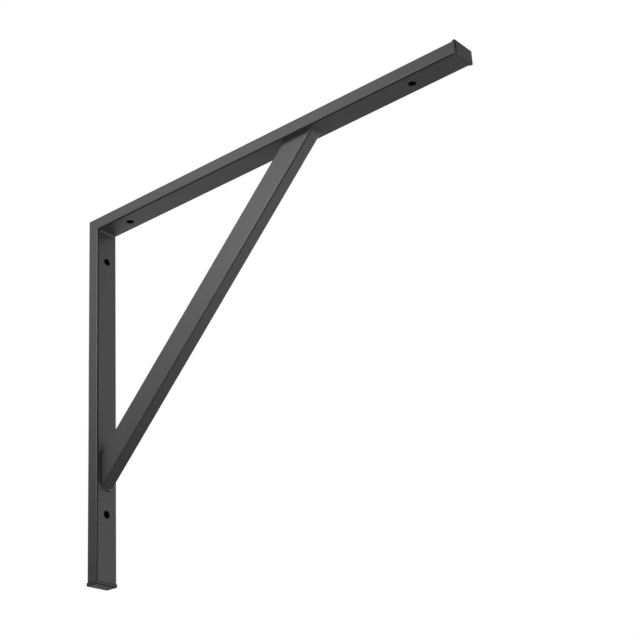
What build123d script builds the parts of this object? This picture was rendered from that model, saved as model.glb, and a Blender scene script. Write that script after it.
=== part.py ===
from build123d import *
import os
from math import atan2, cos, degrees, hypot, radians, sin

# Heavy-duty shelf bracket, welded from three cut lengths of one rectangular
# steel tube, with a ribbed plastic plug in each open tube end.
#
# Frame, in millimetres: X = 0 is the wall plane (back of the upright leg) and
# +X points away from the wall. Y = 0 is the middle of the bracket's width.
# Z = 0 is half-way between the two wall holes. SHELF_Z is the plane that the
# shelf lies on (top of the arm).

# ---------------------------------------------------------------- dimensions
TUBE_WIDE = 30.0          # long side of the tube's section
TUBE_DEEP = 16.0          # short side of the tube's section
TUBE_WALL = 1.5           # wall thickness
TUBE_EDGE_R = 2.0         # outer radius of the tube's long edges
TUBE_BORE_R = 0.5         # inner radius of the tube's long edges

LEG_HEIGHT = 450.7        # shelf plane to the underside of the lower plug
ARM_LENGTH = 542.2        # wall plane to the face of the outer plug

LEG_HOLE_TOP = 55.0       # shelf plane down to the upper wall hole
LEG_HOLE_PITCH = 315.0    # between the two wall holes
ARM_HOLE_NEAR = 56.0      # wall plane out to the nearer shelf hole
ARM_HOLE_PITCH = 420.0    # between the two shelf holes
HOLE_D = 9.0              # clearance hole for M8, through both walls
HOLE_RIM = 0.3            # broken edge round each hole's mouth

BRACE_ARM_X = 347.0       # where the brace's outer face meets the arm
BRACE_LEG_DROP = 340.0    # shelf plane down to where it meets the leg

CORNER_EASE_R = 1.5       # the ground-down outer edge of the mitre

WELD_CORNER_R = 5.4       # bead in the inner corner of the frame
WELD_CORNER_HALF = 11.8
WELD_HEEL_R = 7.4         # bead on the open (outer) side of the brace's top end
WELD_HEEL_HALF = 7.6
WELD_FOOT_R = 3.9         # the smaller bead under the brace's foot
WELD_FOOT_HALF = 7.6
WELD_TOE_R = 5.2          # small beads in the acute side of the brace's ends
WELD_TOE_HALF = 5.6

PLUG_FLANGE = 3.8         # thickness of the plug's outer plate
PLUG_PROUD = 0.3          # how far that plate stands past the tube all round
PLUG_EDGE_R = 1.1         # its rounded outer edge
PLUG_CORNER_R = 0.6       # its corner radius, much sharper than the tube's
PLUG_DEPTH = 15.0         # how far the plug reaches into the tube
PLUG_SHELL = 1.5          # wall of the plug's hollow core
PLUG_CORE_GAP = 0.45      # core to tube wall
PLUG_RIB_GAP = 0.04       # rib crest to tube wall
PLUG_RIBS = 3
PLUG_RIB_H = 2.4

# ------------------------------------------------------------ derived places
SHELF_Z = LEG_HOLE_TOP + LEG_HOLE_PITCH / 2
LEG_BOTTOM_Z = SHELF_Z - LEG_HEIGHT
ARM_HOLES_X = (ARM_HOLE_NEAR, ARM_HOLE_NEAR + ARM_HOLE_PITCH)
LEG_HOLES_Z = (LEG_HOLE_PITCH / 2, -LEG_HOLE_PITCH / 2)
UNDER_Z = SHELF_Z - TUBE_DEEP            # underside of the arm
FRONT_X = TUBE_DEEP                      # front of the leg

brace_run = BRACE_ARM_X - FRONT_X
brace_rise = BRACE_LEG_DROP - TUBE_DEEP
brace_angle = atan2(brace_rise, brace_run)
brace_len = hypot(brace_run, brace_rise)
ux, uz = cos(brace_angle), sin(brace_angle)      # up along the brace
nx, nz = -uz, ux                                 # towards the inner corner

heel_top = (BRACE_ARM_X, UNDER_Z)
heel_foot = (FRONT_X, SHELF_Z - BRACE_LEG_DROP)
toe_top = (BRACE_ARM_X - TUBE_WIDE / sin(brace_angle), UNDER_Z)
toe_foot = (FRONT_X, SHELF_Z - BRACE_LEG_DROP + TUBE_WIDE / cos(brace_angle))


def slab(points, half):
    """A flat polygon in the X-Z plane, thickened to both sides of Y = 0."""
    face = Plane.XZ * Polygon(*points, align=None)
    return extrude(face, amount=half, both=True)


def tube(plane, size_x, size_y, length, filled=False):
    """A rounded rectangular tube from `plane` along its normal."""
    outer = extrude(plane * RectangleRounded(size_x, size_y, TUBE_EDGE_R), amount=length)
    if filled:
        return outer
    bore = extrude(
        plane
        * RectangleRounded(
            size_x - 2 * TUBE_WALL, size_y - 2 * TUBE_WALL, TUBE_BORE_R
        ),
        amount=length,
    )
    return outer - bore


def rim_edges(solid, axis_dir, at, level, hole_r):
    """The circular edge of a hole's mouth, at a level along its axis."""
    found = []
    for e in solid.edges().filter_by(GeomType.CIRCLE):
        c = e.arc_center
        if abs(e.radius - hole_r) > 1e-3:
            continue
        along = c.X if axis_dir == "X" else c.Z
        across = c.Z if axis_dir == "X" else c.X
        if abs(along - level) < 1e-3 and abs(across - at) < 1e-3:
            found.append(e)
    return found


# The outer edge of the mitre is ground to a small radius.
corner_cut = slab(
    [
        (-2, SHELF_Z - CORNER_EASE_R),
        (CORNER_EASE_R, SHELF_Z - CORNER_EASE_R),
        (CORNER_EASE_R, SHELF_Z + 2),
        (-2, SHELF_Z + 2),
    ],
    TUBE_WIDE,
) - Pos(CORNER_EASE_R, 0, SHELF_Z - CORNER_EASE_R) * Rot(90, 0, 0) * Cylinder(
    CORNER_EASE_R, 3 * TUBE_WIDE
)

# ------------------------------------------------------------------ wall leg
leg_tube_bottom = LEG_BOTTOM_Z + PLUG_FLANGE
leg_plane = Plane(
    origin=(TUBE_DEEP / 2, 0, leg_tube_bottom), x_dir=(1, 0, 0), z_dir=(0, 0, 1)
)
wall_leg = tube(leg_plane, TUBE_DEEP, TUBE_WIDE, SHELF_Z - leg_tube_bottom)
above_mitre = slab(
    [(-20, SHELF_Z + 20), (60, SHELF_Z - 60), (60, SHELF_Z + 60), (-20, SHELF_Z + 60)],
    TUBE_WIDE,
)
wall_leg = wall_leg - above_mitre - corner_cut
for z in LEG_HOLES_Z:
    wall_leg -= Pos(TUBE_DEEP / 2, 0, z) * Rot(0, 90, 0) * Cylinder(
        HOLE_D / 2, 2 * TUBE_DEEP
    )
rims = []
for z in LEG_HOLES_Z:
    for x in (0.0, TUBE_DEEP):
        rims += rim_edges(wall_leg, "X", z, x, HOLE_D / 2)
wall_leg = chamfer(rims, HOLE_RIM)

# ----------------------------------------------------------------- shelf arm
arm_tube_end = ARM_LENGTH - PLUG_FLANGE
arm_plane = Plane(
    origin=(0, 0, SHELF_Z - TUBE_DEEP / 2), x_dir=(0, 1, 0), z_dir=(1, 0, 0)
)
shelf_arm = tube(arm_plane, TUBE_WIDE, TUBE_DEEP, arm_tube_end)
below_mitre = slab(
    [(-60, SHELF_Z + 60), (-60, SHELF_Z - 60), (60, SHELF_Z - 60)], TUBE_WIDE
)
shelf_arm = shelf_arm - below_mitre - corner_cut
for x in ARM_HOLES_X:
    shelf_arm -= Pos(x, 0, SHELF_Z - TUBE_DEEP / 2) * Cylinder(
        HOLE_D / 2, 2 * TUBE_DEEP
    )
rims = []
for x in ARM_HOLES_X:
    for z in (SHELF_Z, UNDER_Z):
        rims += rim_edges(shelf_arm, "Z", x, z, HOLE_D / 2)
shelf_arm = chamfer(rims, HOLE_RIM)

# --------------------------------------------------------------------- brace
# The same tube on edge: its narrow side lies across the bracket, so that a
# strip of the leg and of the arm shows on both sides of it.
over = 60.0
brace_plane = Plane(
    origin=(
        heel_foot[0] + nx * TUBE_WIDE / 2 - ux * over,
        0,
        heel_foot[1] + nz * TUBE_WIDE / 2 - uz * over,
    ),
    x_dir=(nx, 0, nz),
    z_dir=(ux, 0, uz),
)
behind_front = slab(
    [(-300, -600), (FRONT_X, -600), (FRONT_X, 600), (-300, 600)], TUBE_WIDE
)
above_under = slab(
    [(-300, UNDER_Z), (900, UNDER_Z), (900, 600), (-300, 600)], TUBE_WIDE
)
brace = (
    tube(brace_plane, TUBE_WIDE, TUBE_DEEP, brace_len + 2 * over)
    - behind_front
    - above_under
)
brace_filled = (
    tube(brace_plane, TUBE_WIDE, TUBE_DEEP, brace_len + 2 * over, filled=True)
    - behind_front
    - above_under
)


# --------------------------------------------------------------- weld beads
def bead(root, open_dir, depth, r, half):
    """A round-ended bar along Y, its axis sunk below the joint's root so that
    only a shallow convex face stands in the open side of the joint."""
    length = hypot(*open_dir)
    ox, oz = open_dir[0] / length, open_dir[1] / length
    x, z = root[0] - ox * depth, root[1] - oz * depth
    straight = half - 0.62 * r
    end_r = (r * r - (half - straight) ** 2) ** 0.5
    mid_a = 0.5 * (half - straight) / r
    mid = (r * cos(mid_a), straight + r * sin(mid_a))
    outline = [
        Line((0, -half), (end_r, -half)),
        ThreePointArc((end_r, -half), (mid[0], -mid[1]), (r, -straight)),
        Line((r, -straight), (r, straight)),
        ThreePointArc((r, straight), mid, (end_r, half)),
        Line((end_r, half), (0, half)),
        Line((0, half), (0, -half)),
    ]
    side = Plane(origin=(x, 0, z), x_dir=(-ox, 0, -oz), z_dir=(oz, 0, -ox))
    return revolve(side * make_face(outline), Axis((x, 0, z), (0, 1, 0)), 360)


# Inner corner of the frame, between the leg's front and the arm's underside.
corner_weld = (
    bead((FRONT_X, UNDER_Z), (1, -1), 1.9, WELD_CORNER_R, WELD_CORNER_HALF)
    - behind_front
    - above_under
)

# Open side of the brace's top end and foot.
brace_top_weld = (
    bead(heel_top, (1 - ux, -uz), 4.0, WELD_HEEL_R, WELD_HEEL_HALF)
    - above_under
    - brace_filled
)
brace_foot_weld = (
    bead(heel_foot, (ux, uz - 1), 2.0, WELD_FOOT_R, WELD_FOOT_HALF)
    - behind_front
    - brace_filled
)

# Acute side of the same two ends, inside the triangle.
brace_top_toe_weld = (
    bead(toe_top, (-1 - ux, -uz), -0.4, WELD_TOE_R, WELD_TOE_HALF)
    - above_under
    - brace_filled
)
brace_foot_toe_weld = (
    bead(toe_foot, (ux, 1 + uz), -0.4, WELD_TOE_R, WELD_TOE_HALF)
    - behind_front
    - brace_filled
)


# ----------------------------------------------------------------- end plugs
def end_plug():
    """A moulded insert. The tube's end is at local z = 0, its inside at z < 0."""
    plate = extrude(
        RectangleRounded(
            TUBE_WIDE + 2 * PLUG_PROUD, TUBE_DEEP + 2 * PLUG_PROUD, PLUG_CORNER_R
        ),
        amount=PLUG_FLANGE,
    )
    plate = fillet(plate.faces().sort_by(Axis.Z)[-1].edges(), PLUG_EDGE_R)
    bore_w = TUBE_WIDE - 2 * TUBE_WALL
    bore_d = TUBE_DEEP - 2 * TUBE_WALL
    core_w, core_d = bore_w - 2 * PLUG_CORE_GAP, bore_d - 2 * PLUG_CORE_GAP
    core = extrude(RectangleRounded(core_w, core_d, 0.8), amount=-PLUG_DEPTH)
    pocket = Pos(0, 0, -PLUG_DEPTH) * extrude(
        RectangleRounded(core_w - 2 * PLUG_SHELL, core_d - 2 * PLUG_SHELL, 0.5),
        amount=PLUG_DEPTH,
    )
    # A stiffening web across the middle of the hollow core.
    web = Pos(0, 0, -PLUG_DEPTH / 2) * Box(PLUG_SHELL, core_d - 1.0, PLUG_DEPTH - 0.5)
    body = plate + core - pocket + web
    for k in range(PLUG_RIBS):
        top = -1.6 - k * 4.2
        crest = RectangleRounded(
            bore_w - 2 * PLUG_RIB_GAP, bore_d - 2 * PLUG_RIB_GAP, 0.7
        )
        foot = RectangleRounded(core_w, core_d, 0.75)
        body += loft(
            [Pos(0, 0, top) * crest, Pos(0, 0, top - PLUG_RIB_H) * foot]
        ) - Pos(0, 0, top - PLUG_RIB_H / 2) * Box(
            core_w - 2 * PLUG_SHELL, core_d - 2 * PLUG_SHELL, PLUG_RIB_H + 2
        )
    return body


plug = end_plug()
arm_end_cap = (
    Plane(
        origin=(arm_tube_end, 0, SHELF_Z - TUBE_DEEP / 2),
        x_dir=(0, 1, 0),
        z_dir=(1, 0, 0),
    ).location
    * plug
)
leg_end_cap = (
    Plane(
        origin=(TUBE_DEEP / 2, 0, leg_tube_bottom), x_dir=(0, 1, 0), z_dir=(0, 0, -1)
    ).location
    * plug
)

# -------------------------------------------------------------------- output
nodes = {
    "wall_leg": wall_leg,
    "shelf_arm": shelf_arm,
    "brace": brace,
    "corner_weld": corner_weld,
    "brace_top_weld": brace_top_weld,
    "brace_foot_weld": brace_foot_weld,
    "brace_top_toe_weld": brace_top_toe_weld,
    "brace_foot_toe_weld": brace_foot_toe_weld,
    "arm_end_cap": arm_end_cap,
    "leg_end_cap": leg_end_cap,
}

os.makedirs("parts", exist_ok=True)
for name, shape in nodes.items():
    export_step(shape, "parts/" + name + ".step")

print("brace angle above horizontal", round(degrees(brace_angle), 2))
print("brace outer face length", round(brace_len, 1))
print("shelf plane z", SHELF_Z, "leg bottom z", LEG_BOTTOM_Z)
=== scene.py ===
import bpy
import bmesh
import math
from mathutils import Matrix, Vector


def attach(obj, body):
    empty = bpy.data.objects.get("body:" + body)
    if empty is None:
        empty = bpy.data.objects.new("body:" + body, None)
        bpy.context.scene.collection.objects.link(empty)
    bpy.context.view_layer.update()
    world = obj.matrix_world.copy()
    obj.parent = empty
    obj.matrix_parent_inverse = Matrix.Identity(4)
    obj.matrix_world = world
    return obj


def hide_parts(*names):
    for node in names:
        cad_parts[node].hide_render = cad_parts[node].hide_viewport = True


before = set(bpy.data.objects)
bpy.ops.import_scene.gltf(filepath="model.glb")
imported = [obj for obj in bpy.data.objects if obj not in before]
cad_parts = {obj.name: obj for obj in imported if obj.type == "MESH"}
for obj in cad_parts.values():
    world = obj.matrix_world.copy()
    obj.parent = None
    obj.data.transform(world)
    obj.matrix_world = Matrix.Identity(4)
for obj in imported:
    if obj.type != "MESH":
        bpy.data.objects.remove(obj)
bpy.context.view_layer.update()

# ------------------------------------------------------------------ geometry
# Row frame, metres: X = 0 wall plane, Y = 0 middle of the width, Z = 0 half-way
# between the wall holes.
WIDE, DEEP, EDGE_R = 0.030, 0.016, 0.002
SHELF_Z = 0.2125
UNDER_Z = SHELF_Z - DEEP
FRONT_X = DEEP
TIP_X, FOOT_Z, PLATE = 0.5422, -0.2382, 0.0038
HEEL_TOP = (0.347, UNDER_Z)
HEEL_FOOT = (FRONT_X, SHELF_Z - 0.340)
BRACE_A = math.atan2(0.324, 0.331)
UX, UZ = math.cos(BRACE_A), math.sin(BRACE_A)
TOE_TOP = (0.347 - WIDE / math.sin(BRACE_A), UNDER_Z)
TOE_FOOT = (FRONT_X, SHELF_Z - 0.340 + WIDE / math.cos(BRACE_A))
MIDDLE = Vector((0.27, 0.0, -0.0125))


# --------------------------------------------------------------- weld beads
def hash01(i, seed):
    """A repeatable number from 0 to 1 for step i."""
    v = math.sin(i * 127.1 + seed * 311.7) * 43758.5453
    return v - math.floor(v)


def edge_drop(y, half_wide, r):
    """How far a tube's face has fallen away at y, where its long edge rounds off."""
    over = abs(y) - (half_wide - r)
    if over <= 0:
        return 0.0
    over = min(over, r * 0.98)
    return r - math.sqrt(r * r - over * over)


def weld_bead(name, root, dir_a, dir_b, reach_a, reach_b, bulge, half, wide_b, lean, sag, seed):
    """A fillet bead along Y between two faces that meet at root. It reaches reach_a
    along the first face and reach_b along the second, swells by bulge between them,
    flares where it wets each face and carries the crescent ripples of the weld pool.
    lean makes it longer on the first face towards +Y, and sag moves its fullest part
    towards that face. It closes just under both faces."""
    root = Vector(root)
    a, b = Vector(dir_a).normalized(), Vector(dir_b).normalized()
    n_a = (b - a * a.dot(b)).normalized()
    n_b = (a - b * a.dot(b)).normalized()
    o = (a + b).normalized()
    sin_ab = math.sqrt(1 - a.dot(b) ** 2)
    pitch, amp, flare, sink = 0.0017, 0.00019, 0.0005, 0.00025
    n_arc = 30

    # Ripple crests along the run, each with its own pitch and height.
    crests, at, i = [], -half - 3 * pitch, 0
    while at < half + 4 * pitch:
        crests.append((at, 0.65 + 0.7 * hash01(i, seed)))
        at += pitch * (0.82 + 0.36 * hash01(i + 50, seed))
        i += 1

    def ripple(s):
        for k in range(len(crests) - 1):
            lo, hi = crests[k][0], crests[k + 1][0]
            if lo <= s < hi:
                t = (s - lo) / (hi - lo)
                return crests[k][1] * (math.sin(math.pi * t) ** 0.7 - 0.6)
        return 0.0

    steps = max(40, int(2 * half / 0.00014))
    rings = []
    for k in range(steps + 1):
        u = -1 + 2 * k / steps
        u = math.copysign(1 - (1 - abs(u)) ** 1.35, u)
        y = half * u
        # The run is full over its middle and dies away over the last part of it.
        over = max(0.0, (abs(u) - 0.6) / 0.4)
        size = max(0.03, math.sqrt(max(0.0, 1 - over**2.2)))
        wander = 1 + 0.05 * math.sin(y * 410 + seed) + 0.035 * math.sin(y * 930 + 2 * seed)
        r_a, r_b = reach_a * size * wander * (1 + lean * u), reach_b * size * (2 - wander)
        s_b = sink + (edge_drop(y, wide_b, EDGE_R) if wide_b else 0.0)
        p_a = root + a * r_a - n_a * sink
        p_b = root + b * r_b - n_b * s_b
        ring = []
        for j in range(n_arc + 1):
            v = j / n_arc
            w = 2 * v - 1
            swell = bulge * size * (1 - w * w) * (1 - sag * w)
            crest = amp * ripple(y + 0.0012 * (1 - w * w)) * max(0.0, 1 - w**4)
            p = p_a.lerp(p_b, v) + o * (swell + crest * min(1.0, 1.2 * size))
            h_a, h_b = (p - root).dot(n_a) + sink, (p - root).dot(n_b) + s_b
            if v < 0.5 and h_a < 0.0008:
                p = p + a * (flare * size * (1 - max(h_a, 0.0) / 0.0008) ** 2)
            elif v >= 0.5 and h_b < 0.0008:
                p = p + b * (flare * size * (1 - max(h_b, 0.0) / 0.0008) ** 2)
            ring.append((p.x, y, p.y))
        back = root - a * (s_b / sin_ab) - b * (sink / sin_ab)
        ring.append((back.x, y, back.y))
        rings.append(ring)
    bm = bmesh.new()
    grid = [[bm.verts.new(c) for c in ring] for ring in rings]
    count = n_arc + 2
    for k in range(steps):
        for j in range(count):
            j2 = (j + 1) % count
            bm.faces.new((grid[k][j], grid[k][j2], grid[k + 1][j2], grid[k + 1][j]))
    for ring in (grid[0], grid[-1]):
        bm.faces.new(ring)
    bmesh.ops.triangulate(bm, faces=[f for f in bm.faces if len(f.verts) > 4])
    bmesh.ops.recalc_face_normals(bm, faces=bm.faces)
    for f in bm.faces:
        f.smooth = True
    mesh = bpy.data.meshes.new(name)
    bm.to_mesh(mesh)
    bm.free()
    obj = bpy.data.objects.new(name, mesh)
    bpy.context.scene.collection.objects.link(obj)
    return obj


# ----------------------------------------------------------------- materials
def new_material(name):
    m = bpy.data.materials.new(name)
    m.use_nodes = True
    nt = m.node_tree
    nt.nodes.clear()
    out = nt.nodes.new("ShaderNodeOutputMaterial")
    out.location = (900, 0)
    shader = nt.nodes.new("ShaderNodeBsdfPrincipled")
    shader.location = (600, 0)
    nt.links.new(shader.outputs["BSDF"], out.inputs["Surface"])
    return m, nt, shader


def node(nt, kind, where, **values):
    n = nt.nodes.new(kind)
    n.location = where
    for k, v in values.items():
        if k.startswith("in_"):
            n.inputs[k[3:].replace("_", " ")].default_value = v
        else:
            setattr(n, k, v)
    return n


def noise(nt, coord, scale, detail, rough, where):
    n = node(nt, "ShaderNodeTexNoise", where)
    n.inputs["Scale"].default_value = scale
    n.inputs["Detail"].default_value = detail
    n.inputs["Roughness"].default_value = rough
    nt.links.new(coord, n.inputs["Vector"])
    return n


def remap(nt, value, lo, hi, to_lo, to_hi, where):
    n = node(nt, "ShaderNodeMapRange", where)
    n.inputs["From Min"].default_value = lo
    n.inputs["From Max"].default_value = hi
    n.inputs["To Min"].default_value = to_lo
    n.inputs["To Max"].default_value = to_hi
    nt.links.new(value, n.inputs["Value"])
    return n.outputs["Result"]


def math_node(nt, op, a, b, where):
    n = node(nt, "ShaderNodeMath", where, operation=op)
    for i, v in enumerate((a, b)):
        if v is None:
            continue
        if isinstance(v, (int, float)):
            n.inputs[i].default_value = v
        else:
            nt.links.new(v, n.inputs[i])
    return n.outputs[0]


def covered(nt, coord, spans, fade, where):
    """Three masks over a tube. The first is 1 on its outer surface and falls to 0 further
    inside the tube. The second is 1 along the crown of its rounded edges, and
    the third also beside it. Each of the two spans is a direction with the outer faces
    that the tube has across it, and fade is how far from both faces the crown ends."""
    near = []
    for i, (axis, lo, hi) in enumerate(spans):
        along = node(nt, "ShaderNodeVectorMath", (where[0], where[1] - 200 * i))
        along.operation = "DOT_PRODUCT"
        nt.links.new(coord, along.inputs[0])
        along.inputs[1].default_value = axis
        v = along.outputs["Value"]
        a = math_node(nt, "SUBTRACT", v, lo, (where[0] + 200, where[1] - 200 * i))
        b = math_node(nt, "SUBTRACT", hi, v, (where[0] + 200, where[1] - 200 * i - 100))
        near.append(math_node(nt, "MINIMUM", a, b, (where[0] + 400, where[1] - 200 * i)))
    depth = math_node(nt, "MINIMUM", near[0], near[1], (where[0] + 600, where[1]))
    crown = math_node(nt, "MAXIMUM", near[0], near[1], (where[0] + 600, where[1] - 200))
    return (
        remap(nt, depth, 0.0007, 0.0012, 1.0, 0.0, (where[0] + 800, where[1])),
        remap(nt, crown, 0.0007, fade, 1.0, 0.0, (where[0] + 800, where[1] - 200)),
        remap(nt, crown, 0.0014, 0.0024, 1.0, 0.0, (where[0] + 800, where[1] - 400)),
    )


def powder_coat(name, spans=None, fade=0.0014, smooth=0.0):
    """smooth is how much less rough the coat is along the tube's long edges."""
    m, nt, shader = new_material(name)
    coord = node(nt, "ShaderNodeTexCoord", (-1500, 0)).outputs["Object"]
    shader.inputs["Specular IOR Level"].default_value = 0.5
    # Slow drift in the coat's tone and gloss, then the fine grain of the powder.
    drift = noise(nt, coord, 22.0, 3.0, 0.5, (-1100, 400)).outputs["Fac"]
    grain = noise(nt, coord, 900.0, 2.0, 0.6, (-1100, 150)).outputs["Fac"]
    tone = math_node(
        nt,
        "ADD",
        remap(nt, drift, 0.3, 0.7, 0.94, 1.05, (-850, 400)),
        remap(nt, grain, 0.3, 0.7, -0.05, 0.05, (-850, 150)),
        (-600, 300),
    )
    # Inside the tube the colour falls to near black: partly dark bare steel, partly painted
    # shade in the hollow. Along the crown of each long edge a dark line is painted shade.
    if spans:
        on, crown, edge = covered(nt, coord, spans, fade, (-1500, 900))
        # Painted shade: near black inside the tube, over the dark bare steel.
        shade = remap(nt, on, 0.0, 1.0, 0.12, 1.0, (-500, 700))
        # Painted shade: a dark line along the crown of each long edge, with less specular there.
        painted_edge_shade = remap(nt, crown, 0.0, 1.0, 1.0, 0.3, (-500, 900))
        tone = math_node(nt, "MULTIPLY", tone, shade, (-450, 500))
        tone = math_node(nt, "MULTIPLY", tone, painted_edge_shade, (-400, 600))
        dull = remap(nt, crown, 0.0, 1.0, 0.5, 0.3, (0, 500))
        nt.links.new(dull, shader.inputs["Specular IOR Level"])
    base = node(nt, "ShaderNodeMix", (-350, 300), data_type="RGBA", blend_type="MULTIPLY")
    base.inputs[0].default_value = 1.0
    base.inputs[6].default_value = (BASE, BASE, BASE, 1.0)
    tint = node(nt, "ShaderNodeCombineColor", (-600, 150))
    for i in range(3):
        nt.links.new(tone, tint.inputs[i])
    nt.links.new(tint.outputs[0], base.inputs[7])
    nt.links.new(base.outputs[2], shader.inputs["Base Color"])
    gloss = math_node(
        nt,
        "ADD",
        remap(nt, drift, 0.3, 0.7, ROUGH - 0.02, ROUGH + 0.03, (-850, -50)),
        remap(nt, grain, 0.3, 0.7, -0.025, 0.025, (-850, -250)),
        (-600, -100),
    )
    if spans:
        gloss = math_node(
            nt, "ADD", gloss, remap(nt, on, 0.0, 1.0, 0.4, 0.0, (-500, -50)), (-400, -100)
        )
        gloss = math_node(
            nt, "ADD", gloss, remap(nt, edge, 0.0, 1.0, 0.0, -smooth, (-500, -250)), (-250, -100)
        )
    nt.links.new(gloss, shader.inputs["Roughness"])
    peel = noise(nt, coord, 1100.0, 2.0, 0.5, (-1100, -400)).outputs["Fac"]
    waves = noise(nt, coord, 260.0, 1.0, 0.4, (-1100, -650)).outputs["Fac"]
    low = node(nt, "ShaderNodeBump", (0, -500))
    low.inputs["Strength"].default_value = 0.25
    low.inputs["Distance"].default_value = 0.00022
    nt.links.new(waves, low.inputs["Height"])
    fine = node(nt, "ShaderNodeBump", (250, -350))
    fine.inputs["Strength"].default_value = 0.35
    fine.inputs["Distance"].default_value = 0.00009
    nt.links.new(peel, fine.inputs["Height"])
    nt.links.new(low.outputs["Normal"], fine.inputs["Normal"])
    nt.links.new(fine.outputs["Normal"], shader.inputs["Normal"])
    return m


def behind(nt, coord, face, where):
    """How far a point lies behind a face, given as an outward direction and its offset."""
    along = node(nt, "ShaderNodeVectorMath", where)
    along.operation = "DOT_PRODUCT"
    nt.links.new(coord, along.inputs[0])
    along.inputs[1].default_value = face[0]
    at = (where[0] + 200, where[1])
    return math_node(nt, "SUBTRACT", face[1], along.outputs["Value"], at)


def plug_plastic(name, end, rims, shadow_line_at=None):
    """end is the plate's outer face and rims are the sides whose edge with it carries a
    dark line of painted shade. The fourth argument is how far behind the outer face a painted shadow
    line shows against the tube."""
    m, nt, shader = new_material(name)
    coord = node(nt, "ShaderNodeTexCoord", (-1500, 0)).outputs["Object"]
    shader.inputs["Specular IOR Level"].default_value = 0.45
    drift = noise(nt, coord, 60.0, 2.0, 0.5, (-1100, 300)).outputs["Fac"]
    spark = noise(nt, coord, 1500.0, 3.0, 0.6, (-1100, 0)).outputs["Fac"]
    tone = remap(nt, drift, 0.3, 0.7, 0.92, 1.08, (-850, 300))
    deep = behind(nt, coord, end, (-1900, 700))
    rim = behind(nt, coord, rims[0], (-1900, 900))
    for i, face in enumerate(rims[1:]):
        side = behind(nt, coord, face, (-1900, 1100 + 200 * i))
        rim = math_node(nt, "MINIMUM", rim, side, (-1500 + 200 * i, 1000))
    crown = math_node(nt, "MAXIMUM", deep, rim, (-900, 900))
    # Painted shade: a dark line along the plate's edges with its rims.
    line = remap(nt, crown, 0.0006, 0.0012, 0.2, 1.0, (-700, 900))
    tone = math_node(nt, "MULTIPLY", tone, line, (-600, 600))
    if shadow_line_at:
        # Painted shadow: a dark line where the flange meets the tube's end, standing in for the shadow
        # in the gap there.
        off = math_node(nt, "SUBTRACT", deep, shadow_line_at, (-1100, 700))
        off = math_node(nt, "ABSOLUTE", off, None, (-900, 700))
        painted_seam_shadow = remap(nt, off, 0.0004, 0.0011, 0.2, 1.0, (-700, 700))
        tone = math_node(nt, "MULTIPLY", tone, painted_seam_shadow, (-500, 500))
        line = math_node(nt, "MINIMUM", line, painted_seam_shadow, (-500, 800))
    dull = remap(nt, line, 0.2, 1.0, 0.2, 0.45, (-300, 800))
    nt.links.new(dull, shader.inputs["Specular IOR Level"])
    base = node(nt, "ShaderNodeMix", (-350, 300), data_type="RGBA", blend_type="MULTIPLY")
    base.inputs[0].default_value = 1.0
    base.inputs[6].default_value = (PLUG, PLUG, PLUG, 1.0)
    tint = node(nt, "ShaderNodeCombineColor", (-600, 150))
    for i in range(3):
        nt.links.new(tone, tint.inputs[i])
    nt.links.new(tint.outputs[0], base.inputs[7])
    nt.links.new(base.outputs[2], shader.inputs["Base Color"])
    nt.links.new(
        remap(nt, spark, 0.3, 0.7, 0.38, 0.52, (-600, -100)), shader.inputs["Roughness"]
    )
    bump = node(nt, "ShaderNodeBump", (250, -300))
    bump.inputs["Strength"].default_value = 0.3
    bump.inputs["Distance"].default_value = 0.00012
    nt.links.new(spark, bump.inputs["Height"])
    nt.links.new(bump.outputs["Normal"], shader.inputs["Normal"])
    return m


BASE, ROUGH, PLUG = 0.050, 0.38, 0.040
coat = powder_coat("powder_coat_charcoal")
across = ((0, 1, 0), -WIDE / 2, WIDE / 2)
leg_coat = powder_coat(
    "powder_coat_charcoal_leg", (((1, 0, 0), 0.0, FRONT_X), across), smooth=0.2
)
arm_coat = powder_coat(
    "powder_coat_charcoal_arm", (((0, 0, 1), UNDER_Z, SHELF_Z), across), fade=0.0022
)
HEEL_AT = HEEL_TOP[0] * UZ - HEEL_TOP[1] * UX
brace_coat = powder_coat(
    "powder_coat_charcoal_brace",
    (((UZ, 0, -UX), HEEL_AT - WIDE, HEEL_AT), ((0, 1, 0), -DEEP / 2, DEEP / 2)),
    smooth=0.1,
)
sides = (((0, 1, 0), 0.0153), ((0, -1, 0), 0.0153))
arm_plug = plug_plastic("plug_plastic_arm", ((1, 0, 0), TIP_X), (*sides, ((0, 0, 1), 0.2128)))
leg_plug = plug_plastic(
    "plug_plastic_leg",
    ((0, 0, -1), -FOOT_Z),
    (*sides, ((1, 0, 0), 0.0163), ((-1, 0, 0), 0.0003)),
    PLATE,
)

MATERIAL_OF = {
    "wall_leg": leg_coat,
    "shelf_arm": arm_coat,
    "brace": brace_coat,
    "arm_end_cap": arm_plug,
    "leg_end_cap": leg_plug,
}
for name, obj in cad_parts.items():
    mat = MATERIAL_OF.get(name, coat)
    obj.data.materials.clear()
    obj.data.materials.append(mat)

# Each bead: CAD node, root, the two faces it joins, how far it reaches along each, how
# much it swells, half its length, half the width of the second face where the bead
# reaches its rounded edges, lean and sag.
BEADS = [
    ("corner_weld", (FRONT_X, UNDER_Z), (0, -1), (1, 0), 0.0019, 0.0012, 0.00035, 0.0124, 0, 0, 0),
    ("brace_top_weld", HEEL_TOP, (1, 0), (-UX, -UZ), 0.0050, 0.0046, -0.0007, 0.0079, 0.008, 0, 0),
    ("brace_foot_weld", HEEL_FOOT, (0, -1), (UX, UZ), 0.0023, 0.0010, 0.0015, 0.0072, 0.008, 0.3, 0.5),
    ("brace_top_toe_weld", TOE_TOP, (-1, 0), (-UX, -UZ), 0.0048, 0.0048, 0.0003, 0.0056, 0.008, 0, 0),
    ("brace_foot_toe_weld", TOE_FOOT, (0, 1), (UX, UZ), 0.0048, 0.0048, 0.0003, 0.0056, 0.008, 0, 0),
]
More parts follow.
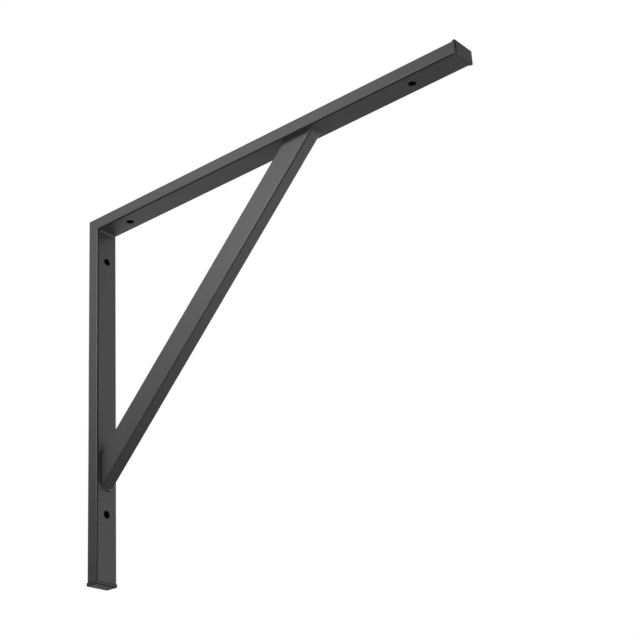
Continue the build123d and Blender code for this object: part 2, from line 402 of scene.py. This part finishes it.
for i, (cad_name, root, da, db, ra, rb, bulge, half, wb, lean, sag) in enumerate(BEADS):
    piece = weld_bead(
        cad_name + "_bead", root, da, db, ra, rb, bulge, half, wb, lean, sag, i + 1
    )
    piece.data.materials.append(coat)
    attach(piece, "root")
    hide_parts(cad_name)

# -------------------------------------------------------------------- camera
cam_data = bpy.data.cameras.new("camera")
cam = bpy.data.objects.new("camera", cam_data)
bpy.context.scene.collection.objects.link(cam)
cam_data.sensor_width = 36.0
cam_data.sensor_fit = "HORIZONTAL"
cam_data.lens = 83.395
right = Vector((0.769383, 0.636066, -0.058902))
up = Vector((0.304145, -0.283677, 0.909408))
back = Vector((0.561735, -0.717598, -0.411712))
cam.matrix_world = Matrix(
    (
        (right.x, up.x, back.x, 1.192317),
        (right.y, up.y, back.y, -1.095812),
        (right.z, up.z, back.z, -0.654252),
        (0, 0, 0, 1),
    )
)
cam_data.clip_start, cam_data.clip_end = 0.05, 60.0
bpy.context.scene.camera = cam

# ------------------------------------------------------------ light and stage
scene = bpy.context.scene
scene.view_settings.view_transform = "Standard"
scene.view_settings.look = "None"

world = bpy.data.worlds.new("studio")
scene.world = world
world.use_nodes = True
wt = world.node_tree
wt.nodes.clear()
w_out = wt.nodes.new("ShaderNodeOutputWorld")
w_mix = wt.nodes.new("ShaderNodeMixShader")
w_fill = wt.nodes.new("ShaderNodeBackground")
w_seen = wt.nodes.new("ShaderNodeBackground")
w_path = wt.nodes.new("ShaderNodeLightPath")
w_fill.inputs["Color"].default_value = (1, 1, 1, 1)
w_fill.inputs["Strength"].default_value = 0.05
w_seen.inputs["Color"].default_value = (1, 1, 1, 1)
w_seen.inputs["Strength"].default_value = 1.0
wt.links.new(w_path.outputs["Is Camera Ray"], w_mix.inputs[0])
wt.links.new(w_fill.outputs[0], w_mix.inputs[1])
wt.links.new(w_seen.outputs[0], w_mix.inputs[2])
wt.links.new(w_mix.outputs[0], w_out.inputs["Surface"])

bpy.ops.mesh.primitive_plane_add(size=24.0, location=(0, 0, -2.3))
floor = bpy.context.object
floor.name = "floor"
fm, fnt, fshader = new_material("floor_pale")
fshader.inputs["Base Color"].default_value = (0.85, 0.85, 0.85, 1)
fshader.inputs["Roughness"].default_value = 0.8
fshader.inputs["Emission Color"].default_value = (1, 1, 1, 1)
f_path = fnt.nodes.new("ShaderNodeLightPath")
f_glow = math_node(fnt, "MULTIPLY", f_path.outputs["Is Camera Ray"], 0.92, (300, -300))
fnt.links.new(f_glow, fshader.inputs["Emission Strength"])
floor.data.materials.append(fm)


def softbox(name, location, target, size_x, size_y, power):
    data = bpy.data.lights.new(name, "AREA")
    data.shape = "RECTANGLE"
    data.size, data.size_y = size_x, size_y
    data.energy = power
    o = bpy.data.objects.new(name, data)
    scene.collection.objects.link(o)
    o.location = location
    o.visible_camera = False
    o.rotation_mode = "QUATERNION"
    o.rotation_quaternion = (Vector(target) - Vector(location)).to_track_quat("-Z", "Y")
    return o


MID = (0.25, 0.0, 0.0)
LIGHTS = [
    ("key", (-0.135, -1.058, 0.65), MID, 0.8, 0.8, 2.74),
    ("key_core", (-0.075, -0.562, 0.375), MID, 0.3, 0.3, 0.43),
    ("strip_high", (-0.12, -1.088, 0.46), MID, 0.12, 0.6, 2.71),
    ("strip_front", (0.25, -1.2, 0.0), MID, 0.12, 0.6, 1.85),
    ("front_low", (0.635, -1.058, -0.65), MID, 0.8, 0.8, 5.00),
    ("front_low_core", (0.602, -0.61, -0.257), MID, 0.3, 0.3, 0.40),
    ("left_high", (-0.725, -0.563, 0.65), MID, 0.8, 0.8, 1.81),
    ("left", (-1.03, 0.226, 0.0), MID, 0.8, 0.8, 5.00),
    ("left_low", (-0.859, 0.195, -0.65), MID, 0.8, 0.8, 3.08),
    ("right", (1.53, 0.226, 0.0), MID, 0.8, 0.8, 1.20),
    ("right_high", (0.9, 0.0, 1.126), MID, 0.8, 0.8, 1.20),
    ("right_low", (0.9, 0.0, -1.126), MID, 0.8, 0.8, 0.60),
    ("right_back_high", (0.974, 0.862, 0.65), MID, 0.8, 0.8, 0.95),
    ("right_back", (1.086, 0.996, 0.0), MID, 0.8, 0.8, 1.79),
    ("right_back_low", (0.974, 0.862, -0.65), MID, 0.8, 0.8, 2.60),
    ("back", (0.25, 1.3, 0.0), MID, 0.8, 0.8, 3.29),
    ("back_high", (0.25, 1.126, 0.65), MID, 0.8, 0.8, 4.24),
    ("left_back", (-0.586, 0.996, 0.0), MID, 0.8, 0.8, 1.85),
    ("top", (0.25, 0.15, 1.4), MID, 1.0, 1.0, 8.0),
]
for spec in LIGHTS:
    softbox(*spec)
